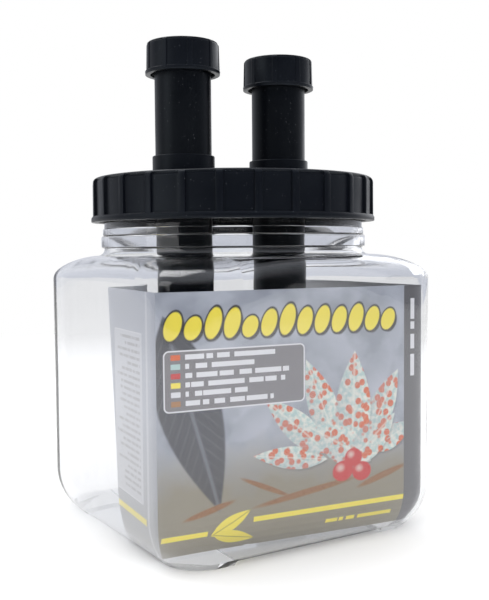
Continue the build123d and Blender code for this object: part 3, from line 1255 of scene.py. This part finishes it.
@dataclass(frozen=True)
class Card:
    """Where the card's folds stand, and the tones and places of its print."""

    name: str = "card_print"
    fold_along: float = -58.132
    fold_deep: float = -57.595
    width: float = 117.3
    flap_reach: float = 20.0
    roughness: Ramp = (0.3, 0.7, 0.36, 0.5)
    ground_waves: float = 26.0
    ground_fade: Ramp = (28.0, 48.0, 1.0, 0.0)
    flap_fade: Ramp = (4.0, 60.0, 1.0, 0.0)
    paper: Colour = linear(190, 191, 196)
    paper_dark: Colour = linear(182, 183, 188)
    sky: Colour = linear(176, 180, 191)
    sky_light: Colour = linear(190, 194, 205)
    sky_dark: Colour = linear(146, 151, 162)
    ground: Colour = linear(139, 132, 116)
    dark: Colour = linear(47, 48, 57)
    yellow: Colour = linear(240, 222, 84)
    shadow: Colour = linear(62, 61, 66)
    strip: Colour = linear(96, 95, 99)
    box: Colour = linear(124, 121, 125)
    light: Colour = linear(222, 222, 226)
    mint: Colour = linear(176, 203, 200)
    cream: Colour = linear(226, 226, 216)
    orange: Colour = linear(214, 98, 44)
    red: Colour = linear(196, 46, 48)
    twig: Colour = linear(166, 120, 78)
    twig_dark: Colour = linear(106, 60, 18)
    pale_leaves: tuple[Mark, ...] = (
        Mark(96, 70, 60, 16, 7),
        Mark(70, 84, 150, 18, 8),
        Mark(103, 92, 100, 15, 6),
        Mark(40, 54, 30, 15, 6),
        Mark(34, 96, 15, 20, 7),
    )
    dark_leaf: Mark = Mark(13.5, 58, -74, 40, 12.5)
    fan: tuple[Mark, ...] = (
        Mark(55, 38, 172, 17, 4.6),
        Mark(58, 50, 140, 19, 6.0),
        Mark(69, 59, 112, 19, 6.6),
        Mark(98, 55, 62, 17, 6.2),
        Mark(103, 42, 25, 12, 5.0),
        Mark(84, 57, 88, 22, 8.6),
        Mark(78, 41, 150, 17, 7.4),
        Mark(93, 42, 40, 15, 7.0),
    )
    berries: tuple[Mark, ...] = (
        Mark(79, 30, 12, 5.2, 4.4),
        Mark(88, 29, 0, 4.8, 4.2),
        Mark(84, 35, 0, 4.4, 4.0),
    )
    twigs: tuple[Mark, ...] = (
        Mark(62, 23.5, 8, 26, 1.5),
        Mark(44, 27.5, -24, 13, 1.2),
        Mark(20, 21.5, 14, 12, 1.4),
        Mark(98, 26, 16, 14, 1.6),
    )
    fan_shadow: Pair = (0.9, -1.1)
    berry_light: Pair = (-1.2, 1.3)
    title_start: Pair = (2.5, 92.5)
    title_shadow: float = 1.1
    info_box: Band = Band(32.0, 71.5, 29.5, 11.6, 2.2, 0.7)
    info_square: Band = Band(7.2, 80.4, 1.9, 1.1, 0.3)
    info_rows: Rows = Rows(10.9, 81.4, pitch=3.45, height=1.9, length=46.0, word=3.4, count=6.0)
    edge_strip: Band = Band(113.1, 50, 4.2, 60)
    edge_rows: Rows = Rows(114.2, 99, pitch=2.4, height=2.0, length=40.0, word=4.0, turn=-90)
    foot_bands: tuple[Band, ...] = (Band(74.5, 15.6, 36.0, 1.15), Band(10.5, 12.4, 9.0, 1.15))
    foot_leaves: tuple[Mark, ...] = (Mark(29, 15.4, 28, 9.5, 3.0), Mark(31, 9.4, -12, 9.5, 2.8))
    foot_rows: Rows = Rows(72.0, 10.6, pitch=3.0, height=1.7, length=40.0, word=2.6)
    # Painted highlight: a pale upright streak near the front fold, where the card's rounded corner catches
    # the light.
    flap_corner_highlight: Band = Band(9.6, 60, 1.1, 70, 1.0)
    flap_panel: Band = Band(31.5, 55.5, 16.5, 33.0, 0.6, 0.5)
    flap_rows: Rows = Rows(17.5, 86.5, pitch=2.6, height=1.15, length=28.0, word=1.7, count=24.0)
    flap_band: Band = Band(64.0, 16.3, 52.0, 1.4)

    def make(self, shared: Shared) -> Material:
        """Makes the card's material: print on its outer faces, plain card inside.

        Args:
            shared: The shared node groups.

        Returns:
            The material.
        """
        material, hand, shader, coords, _ = new_material(self.name)
        along = hand.math("SUBTRACT", hand.reach(coords, Side.FLAPS.value, 1 / MM), self.fold_along)
        deep = hand.math("SUBTRACT", hand.reach(coords, Side.FRONT.value, 1 / MM), self.fold_deep)
        level = hand.math("MULTIPLY", hand.split(coords)[2], 1 / MM)
        grain = hand.noise(coords, scale=900.0)
        normal = hand.add("ShaderNodeNewGeometry").outputs["Normal"]
        ahead = hand.math("GREATER_THAN", hand.reach(normal, Side.FRONT.value, -1.0), 0.5)
        leftward = hand.reach(normal, Side.FLAPS.value, -1.0)
        middle = hand.math("SUBTRACT", self.width / 2, along)
        outward = hand.math("GREATER_THAN", hand.math("MULTIPLY", leftward, middle), self.flap_reach)
        colour = hand.mix(hand.remap(grain, 0.3, 0.7), self.paper, self.paper_dark)
        colour = hand.mix(outward, colour, self.print_flap(hand, shared, hand.join(deep, level)))
        colour = hand.mix(ahead, colour, self.print_front(hand, shared, hand.join(along, level)))
        hand.put(shader, Base_Color=colour, Roughness=hand.remap(grain, *self.roughness))
        hand.bump(shader, grain, strength=0.08, distance=0.0002)
        return material

    def print_front(self, hand: Nodes, shared: Shared, place: Socket) -> Socket:
        """The front panel's print, as a colour."""
        cloud = hand.noise(place, scale=0.06, detail=3.0)
        sky = hand.mix(hand.remap(cloud, 0.38, 0.62), self.sky, self.sky_dark)
        press = Press(hand, shared, place, sky)
        for mark in self.pale_leaves:
            leaf = press.leaf(mark, edge=0.3)
            press.lay(leaf["Mask"], hand.mix(leaf["Shade"], self.sky_light, self.sky_dark), share=0.55)
        waves = hand.math("SUBTRACT", cloud, 0.5)
        low = hand.math("MULTIPLY_ADD", waves, self.ground_waves, hand.split(place)[1])
        press.lay(hand.remap(low, *self.ground_fade), self.ground)
        self.print_dark_leaf(press)
        self.print_twigs(press)
        self.print_fan(press)
        self.print_berries(press)
        self.print_title(press)
        self.print_box(press)
        self.print_foot(press)
        press.lay(press.panel(self.edge_strip)["Inside"], self.strip)
        press.lay(press.rows(self.edge_rows), self.light)
        return press.colour

    def print_dark_leaf(self, press: Press) -> None:
        """One large dark leaf at the left, with a gloss along its veins."""
        leaf = press.leaf(self.dark_leaf, edge=0.08)
        press.lay(leaf["Mask"], press.toned(leaf["Vein"], 0.35, self.dark, self.sky_dark), share=0.93)

    def print_twigs(self, press: Press) -> None:
        """Brown twigs below the fan."""
        bark = press.hand.mix(press.hand.noise(press.place, scale=0.8), self.twig, self.twig_dark)
        for mark in self.twigs:
            press.lay(press.oval(mark, edge=0.3), bark)

    def print_fan(self, press: Press) -> None:
        """A fan of mint leaves with orange spots, each over its own shadow."""
        hand = press.hand
        mottle = hand.remap(hand.noise(press.place, scale=0.5, detail=3.0), 0.4, 0.6)
        spots = hand.remap(hand.cells(press.place, scale=0.3), 0.38, 0.5, 1.0, 0.0)
        spotted = hand.mix(spots, hand.mix(mottle, self.mint, self.cream), self.orange)
        for mark in self.fan:
            leaf = press.leaf(mark, edge=0.05)
            shaded = press.toned(leaf["Shade"], 0.4, spotted, self.sky_dark)
            cast = replace(mark, x=mark.x + self.fan_shadow[0], y=mark.y + self.fan_shadow[1])
            press.lay(press.leaf(cast, edge=0.3)["Mask"], self.shadow, share=0.45)
            press.lay(leaf["Mask"], press.toned(leaf["Vein"], 0.5, shaded, self.cream))

    def print_berries(self, press: Press) -> None:
        """Red berries at the fan's foot, each with a light spot."""
        for mark in self.berries:
            x, y = self.berry_light
            lit = Mark(mark.x + x, mark.y + y, 0, mark.length / 2, mark.width / 2)
            skin = press.toned(press.oval(lit, edge=0.8), 0.6, self.red, self.cream)
            press.lay(press.oval(mark, edge=0.12), skin)

    def print_title(self, press: Press) -> None:
        """A row of slanted yellow seeds with a dark rim and shadow, across the top."""
        x, y = self.title_start
        remap = press.hand.remap
        cast = press.seeds(x + self.title_shadow, y - self.title_shadow)
        press.lay(remap(cast, 0.0, 0.16), self.shadow)
        seeds = press.seeds(x, y)
        press.lay(remap(seeds, -0.16, -0.06), self.shadow)
        press.lay(remap(seeds, 0.0, 0.1), self.yellow)

    def print_box(self, press: Press) -> None:
        """A grey box with a pale outline, coloured squares and rows of pale bars."""
        panel = press.panel(self.info_box)
        press.lay(panel["Inside"], self.box, share=0.95)
        press.lay(panel["Outline"], self.light)
        for row, tone in enumerate((self.orange, self.mint, self.red, self.yellow, self.light, self.twig)):
            square = replace(self.info_square, y=self.info_square.y - self.info_rows.pitch * row)
            press.lay(press.panel(square)["Inside"], tone)
        press.lay(press.rows(self.info_rows), self.light)

    def print_foot(self, press: Press) -> None:
        """Yellow bands with two yellow leaves between them, and a short row of bars."""
        for band in self.foot_bands:
            press.lay(press.panel(band)["Inside"], self.yellow)
        for mark in self.foot_leaves:
            leaf = press.leaf(mark, edge=0.06)
            press.lay(leaf["Mask"], press.toned(leaf["Vein"], 0.6, self.yellow, self.shadow))
        press.lay(press.rows(self.foot_rows), self.yellow)

    def print_flap(self, hand: Nodes, shared: Shared, place: Socket) -> Socket:
        """A flap's print: a pale panel of small rows and a yellow band below, with a painted highlight streak
        near the front fold.
        """
        low = hand.remap(hand.split(place)[1], *self.flap_fade)
        ground = hand.mix(hand.math("MULTIPLY", low, 0.55), self.sky, self.ground)
        press = Press(hand, shared, place, ground)
        # Painted highlight along the rounded corner near the front fold.
        press.lay(press.panel(self.flap_corner_highlight)["Inside"], self.light, share=0.5)
        panel = press.panel(self.flap_panel)
        press.lay(panel["Inside"], self.light, share=0.55)
        press.lay(panel["Outline"], self.light)
        press.lay(press.rows(self.flap_rows), self.box, share=0.55)
        press.lay(press.panel(self.flap_band)["Inside"], self.yellow)
        return press.colour


# ---------------------------------------------------------------- studio
@dataclass(frozen=True)
class Lamp:
    """A square soft lamp: its place and side in metres, its power and whether gloss shows it."""

    name: str
    place: tuple[float, float, float]
    size: float
    power: float
    mirrored: bool

    def add(self, target: Vector) -> None:
        """Adds the lamp, turned to a place."""
        bpy.ops.object.light_add(type="AREA", location=self.place)
        lamp = newest(self.name)
        lamp.data.size = self.size
        lamp.data.energy = self.power
        lamp.visible_glossy = self.mirrored
        lamp.visible_transmission = self.mirrored
        lamp.rotation_mode = "QUATERNION"
        lamp.rotation_quaternion = (target - lamp.location).to_track_quat("-Z", "Y")


@dataclass(frozen=True)
class Studio:
    """White studio: floor, surroundings and lamps.  Lengths are in metres."""

    floor_size: float = 30.0
    floor_tones: tuple[Colour, Colour] = ((0.93, 0.93, 0.935, 1.0), (0.95, 0.95, 0.95, 1.0))
    floor_fade: Pair = (0.35, 0.9)
    floor_lift: float = 0.35
    floor_dimming: float = -0.12
    front_gloss: Ramp = (-0.45, 0.6, 0.02, 0.7)
    overhead_gloss: Ramp = (0.25, 0.85, 0.0, 0.8)
    seen_through: Ramp = (-0.4, 0.0, 0.08, 0.91)
    target: tuple[float, float, float] = (0, 0, 0.1)
    facing: Pair = (0.53, 0.85)
    daylight: Colour = (1.0, 1.0, 1.0, 1.0)
    cool: Colour = (0.94, 0.97, 1.06, 1.0)
    lamps: tuple[Lamp, ...] = (
        Lamp("side_left", (-1.2, 0.1, 0.6), 0.7, 2.2, True),
        Lamp("side_right", (1.1, 0.45, 0.6), 0.8, 1.8, True),
        Lamp("top_back", (-0.1, 0.5, 1.2), 0.8, 5.0, True),
        Lamp("front_fill", (0.25, -1.4, 0.5), 0.9, 13.5, False),
        Lamp("left_fill", (-1.3, -0.5, 0.5), 0.9, 5.0, False),
    )

    def build(self) -> None:
        """Builds the floor, the surroundings and the lamps."""
        self.lay_floor()
        self.surround()
        for lamp in self.lamps:
            lamp.add(Vector(self.target))

    def lay_floor(self) -> None:
        """Lays a large pale floor that fades to white with distance."""
        bpy.ops.mesh.primitive_plane_add(size=self.floor_size, location=(0, 0, 0))
        floor = newest("floor")
        material, hand, shader, place, surface = new_material("pale_floor")
        tone = hand.mix(hand.noise(place, scale=3.0), *self.floor_tones)
        hand.put(shader, Base_Color=tone, Roughness=0.7, Specular_IOR_Level=0.2)
        path = hand.add("ShaderNodeLightPath").outputs
        through = path["Is Transmission Ray"]
        far = hand.remap(hand.length(place), *self.floor_fade)
        seen = hand.math("MULTIPLY", far, hand.math("MAXIMUM", path["Is Camera Ray"], through))
        dimmed = hand.math("MULTIPLY_ADD", through, self.floor_dimming, 1.0)
        white = hand.put(hand.add("ShaderNodeEmission"), Strength=dimmed)
        fade = hand.math("MAXIMUM", seen, hand.math("MULTIPLY", through, self.floor_lift))
        hand.feed(surface, hand.shaders(fade, shader, white))
        floor.data.materials.append(material)

    def surround(self) -> None:
        """White all round for the eye, darker in front for reflections and through the plastic."""
        world = bpy.data.worlds.new("studio")
        bpy.context.scene.world = world
        world.use_nodes = True
        world.cycles.sampling_method = "NONE"
        world.node_tree.nodes.clear()
        hand = Nodes(world.node_tree)
        output = hand.add("ShaderNodeOutputWorld")
        sky = hand.add("ShaderNodeBackground")
        path = hand.add("ShaderNodeLightPath").outputs
        x, y, z = hand.split(hand.add("ShaderNodeTexCoord").outputs["Generated"])
        ahead = hand.math("MULTIPLY_ADD", x, self.facing[0], hand.math("MULTIPLY", y, self.facing[1]))
        overhead = hand.remap(z, *self.overhead_gloss)
        glossy = hand.math("MAXIMUM", hand.remap(ahead, *self.front_gloss), overhead)
        through = hand.remap(ahead, *self.seen_through)
        bent = hand.blend(path["Is Glossy Ray"], through, glossy)
        direct = hand.math("MAXIMUM", path["Is Camera Ray"], path["Is Diffuse Ray"])
        hue = hand.mix(path["Is Glossy Ray"], self.daylight, self.cool)
        hand.put(sky, Color=hue, Strength=hand.blend(direct, bent, 1.0))
        hand.put(output, Surface=sky.outputs[0])


# ---------------------------------------------------------------- the whole
def dress(frame: dict, material: Material, *nodes: str) -> None:
    """Gives carried-over nodes a material.

    Args:
        frame: The loaded frame.
        material: The material.
        nodes: The nodes' names.
    """
    for node in nodes:
        piece = frame["nodes"][node]
        piece.data.materials.clear()
        piece.data.materials.append(material)
        LOG.info("%s: %s", node, material.name)


def main() -> None:
    """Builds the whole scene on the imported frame."""
    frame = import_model()
    bpy.context.scene.view_settings.view_transform = "Standard"
    View().add_camera()
    Studio().build()
    shared = Shared()
    clear = ClearPlastic().make()
    lid_black = BlackPlastic("black_lid", shade=0.0016, gloss_high=0.44, skin=0.08, dust=0.835).make(shared)
    tube_black = BlackPlastic("black_tube", shade=0.001, gloss_high=0.42, skin=0.04, dust=0.825).make(shared)
    dress(frame, Card().make(shared), "label")
    dress(frame, Foam().make(), "lid_liner", "left_cap_liner", "right_cap_liner")
    dress(frame, lid_black, "left_collar", "right_collar")
    dress(frame, tube_black, "left_tube", "right_tube")

    jar_sizes = Jar()
    jar = jar_sizes.build()
    jar.data.materials.append(clear)
    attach(jar, "jar")
    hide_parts("jar")

    closures = Closures()
    lid = closures.build_lid()
    left_cap, right_cap = closures.build_caps()
    shells = ((lid, "lid", "lid"), (left_cap, "left_cap", "left_cap"), (right_cap, "right_cap", "right_cap"))
    for piece, body, node in shells:
        piece.data.materials.append(lid_black)
        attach(piece, body)
        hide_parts(node)

    jar_thread = jar_sizes.wind_thread()
    lid_thread = closures.wind_lid_thread()
    left_thread, right_thread = closures.wind_cap_threads()
    threads = (
        (jar_thread, "jar", "clear_plastic", clear),
        (lid_thread, "lid", "lid_plastic", lid_black),
        (left_thread, "left_cap", "lid_plastic", lid_black),
        (right_thread, "right_cap", "lid_plastic", lid_black),
    )
    for thread, body, slot, material in threads:
        thread.data.materials.append(material)
        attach(thread, body)


if __name__ == "__main__":
    main()
